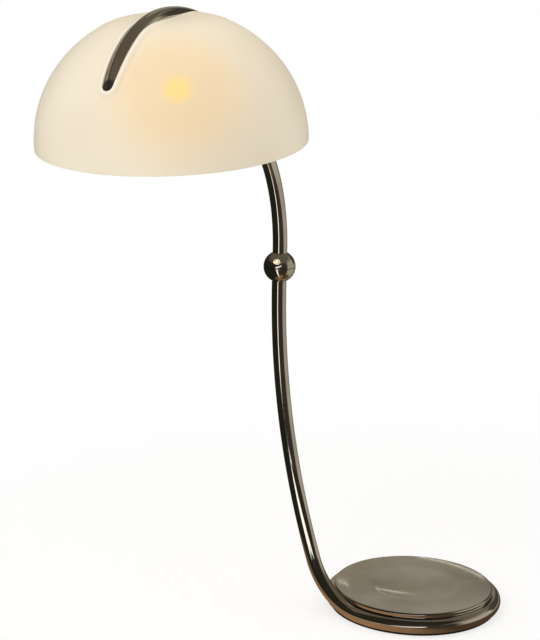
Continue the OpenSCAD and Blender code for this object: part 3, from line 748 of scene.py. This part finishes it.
def roomTones(tree, way):
    # the room's tone in a direction, with its bearing and height
    part = put(tree, "SeparateXYZ", {"Vector": way}).outputs
    angle = reckon(tree, "ARCTAN2", part["X"], reckon(tree, "MULTIPLY", part["Y"], -1.0))
    bearing = slope(tree, angle, -math.pi, math.pi, 0.0, 1.0)
    ramp = put(tree, "ValToRGB", {"Fac": bearing})
    stops = ramp.color_ramp.elements
    while len(stops) < len(roomStops):
        stops.new(0.5)
    for stop, (at, tone) in zip(stops, roomStops):
        stop.position = at
        stop.color = room[tone] + (1,)
    return ramp.outputs["Color"], bearing, part["Z"]


def levelSheet(name, size, finishName, faceDown=False):
    # its finish starts empty
    x, y = size[0] / 2, size[1] / 2
    corners = [(-x, -y, 0), (x, -y, 0), (x, y, 0), (-x, y, 0)]
    mesh = bpy.data.meshes.new(name)
    mesh.from_pydata(corners[::-1] if faceDown else corners, [], [(0, 1, 2, 3)])
    finish = bpy.data.materials.new(finishName)
    finish.use_nodes = True
    finish.node_tree.nodes.clear()
    mesh.materials.append(finish)
    sheet = bpy.data.objects.new(name, mesh)
    scene.collection.objects.link(sheet)
    return sheet, finish.node_tree


floorLook = {"size": (40.0, 40.0), "color": (0.93, 0.93, 0.93), "white": 0.72, "shadowReach": (0.6, 1.6),
             "roomCentre": (-0.2, 0, 0), "strip": (2.1, 1.9, 1.55), "stripAt": 0.456, "stripHalf": 0.016,
             "stripSoft": 0.5, "stripReach": (4.6, 5.4), "boards": (0.40, 0.224, 0.108),
             "darkBoards": (0.085, 0.05, 0.028), "darkFrom": (-0.06, 0.10), "boardsReach": (0.25, 0.6)}


def makeFloor(look):
    floor, tree = levelSheet("floor", look["size"], "floorPale")
    rays = put(tree, "LightPath").outputs
    place = put(tree, "TexCoord").outputs["Object"]
    reach = put(tree, "VectorMath", {0: place}, operation="LENGTH").outputs["Value"]
    # seen by the camera: white, with the lamp's shadow near it
    away = slope(tree, reach, *look["shadowReach"], look["white"], 1.0)
    seen = reckon(tree, "MULTIPLY", rays["Is Camera Ray"], away)
    matte = layer(tree, "BsdfDiffuse", {"Color": look["color"]})
    white = layer(tree, "Emission", {"Strength": 1.0})
    plain = layer(tree, "MixShader", {0: seen, 1: matte, 2: white})
    # seen in the chrome: the room's tones, a bright strip, and warm boards round the foot
    way = put(tree, "VectorMath", {0: place, 1: look["roomCentre"]}, operation="SUBTRACT").outputs["Vector"]
    tone, bearing, _ = roomTones(tree, way)
    off = reckon(tree, "ABSOLUTE", reckon(tree, "SUBTRACT", bearing, look["stripAt"]))
    across = slope(tree, off, look["stripHalf"] * look["stripSoft"], look["stripHalf"])
    inStrip = reckon(tree, "MULTIPLY", slope(tree, reach, *look["stripReach"]), across)
    tone = blend(tree, inStrip, tone, look["strip"])
    dark = slope(tree, put(tree, "SeparateXYZ", {"Vector": place}).outputs["X"], *look["darkFrom"], 0.0, 1.0)
    boards = blend(tree, dark, look["boards"], look["darkBoards"])
    tone = blend(tree, slope(tree, reach, *look["boardsReach"]), tone, boards)
    mirrored = layer(tree, "Emission", {"Color": tone, "Strength": 1.0})
    both = layer(tree, "MixShader", {0: rays["Is Glossy Ray"], 1: plain, 2: mirrored})
    put(tree, "OutputMaterial", {"Surface": both})


darkCard = {"at": (-0.14, -0.36, 0.30), "size": (0.95, 0.50), "tone": (0.028, 0.024, 0.016)}


def makeDarkCard(look):
    # it hangs over the front of the foot, and only the chrome below it mirrors it
    card, tree = levelSheet("darkCard", look["size"], "cardDark", faceDown=True)
    card.location = look["at"]
    above = put(tree, "NewGeometry").outputs["Backfacing"]
    dark = layer(tree, "Emission", {"Color": look["tone"], "Strength": 1.0})
    clear = layer(tree, "BsdfTransparent")
    put(tree, "OutputMaterial", {"Surface": layer(tree, "MixShader", {0: above, 1: dark, 2: clear})})
    card.visible_camera = card.visible_diffuse = card.visible_transmission = card.visible_shadow = False


worldLook = {"light": 0.83, "color": (1, 0.985, 0.955), "ceilingFrom": (0.36, 0.7), "paneSoft": 0.7}
# pale and dark patches of the room by bearing and height, with their half sizes;
# climb is how much a patch rises with the bearing
panes = {"backWall": {"at": (0.0, 0.60), "half": (0.024, 0.25), "climb": 0.0, "tone": (0.34, 0.305, 0.245)},
         "curtain": {"at": (0.905, 0.27), "half": (0.070, 0.30), "climb": 0.0, "tone": (0.065, 0.057, 0.044)},
         "window": {"at": (0.49, 0.110), "half": (0.070, 0.080), "climb": 2.1, "tone": (1.6, 1.52, 1.36)},
         "rail": {"at": (0.9945, 0.305), "half": (0.0058, 0.008), "climb": -5.2, "tone": (0.75, 0.69, 0.57)},
         "shelf": {"at": (0.0104, 0.370), "half": (0.0016, 0.006), "climb": -3.0, "tone": (0.75, 0.69, 0.57)}}


def paneShare(tree, look, bearing, height):
    off = reckon(tree, "WRAP", reckon(tree, "SUBTRACT", bearing, look["at"][0]), 0.5, -0.5)
    middle = reckon(tree, "MULTIPLY_ADD", off, look["climb"], look["at"][1])
    inside = []
    for value, half in zip((off, reckon(tree, "SUBTRACT", height, middle)), look["half"]):
        far = reckon(tree, "ABSOLUTE", value)
        inside.append(slope(tree, far, half * worldLook["paneSoft"], half, kind="SMOOTHSTEP"))
    return reckon(tree, "MULTIPLY", *inside)


def makeWorld(look):
    world = bpy.data.worlds.new("studioWorld")
    scene.world = world
    world.use_nodes = True
    tree = world.node_tree
    tree.nodes.clear()
    rays = put(tree, "LightPath").outputs
    tone, bearing, height = roomTones(tree, put(tree, "TexCoord").outputs["Generated"])
    tone = blend(tree, slope(tree, height, *look["ceilingFrom"], 0.0, 1.0), tone, room["ceiling"])
    for pane in panes.values():
        tone = blend(tree, paneShare(tree, pane, bearing, height), tone, pane["tone"])
    mirrored = layer(tree, "Background", {"Color": tone})
    soft = layer(tree, "Background", {"Color": look["color"], "Strength": look["light"]})
    white = layer(tree, "Background", {"Color": (1, 1, 1)})
    lit = layer(tree, "MixShader", {0: rays["Is Glossy Ray"], 1: soft, 2: mirrored})
    seen = reckon(tree, "MAXIMUM", rays["Is Camera Ray"], rays["Is Transmission Ray"])
    put(tree, "OutputWorld", {"Surface": layer(tree, "MixShader", {0: seen, 1: lit, 2: white})})


for lampName, lampLook in lamps.items():
    makeLamp(lampName, lampLook)
makeBulbLight(bulbLight)
makeFloor(floorLook)
makeDarkCard(darkCard)
makeWorld(worldLook)
scene.view_settings.view_transform = "Standard"
print("studio made")

bpy.context.view_layer.update()
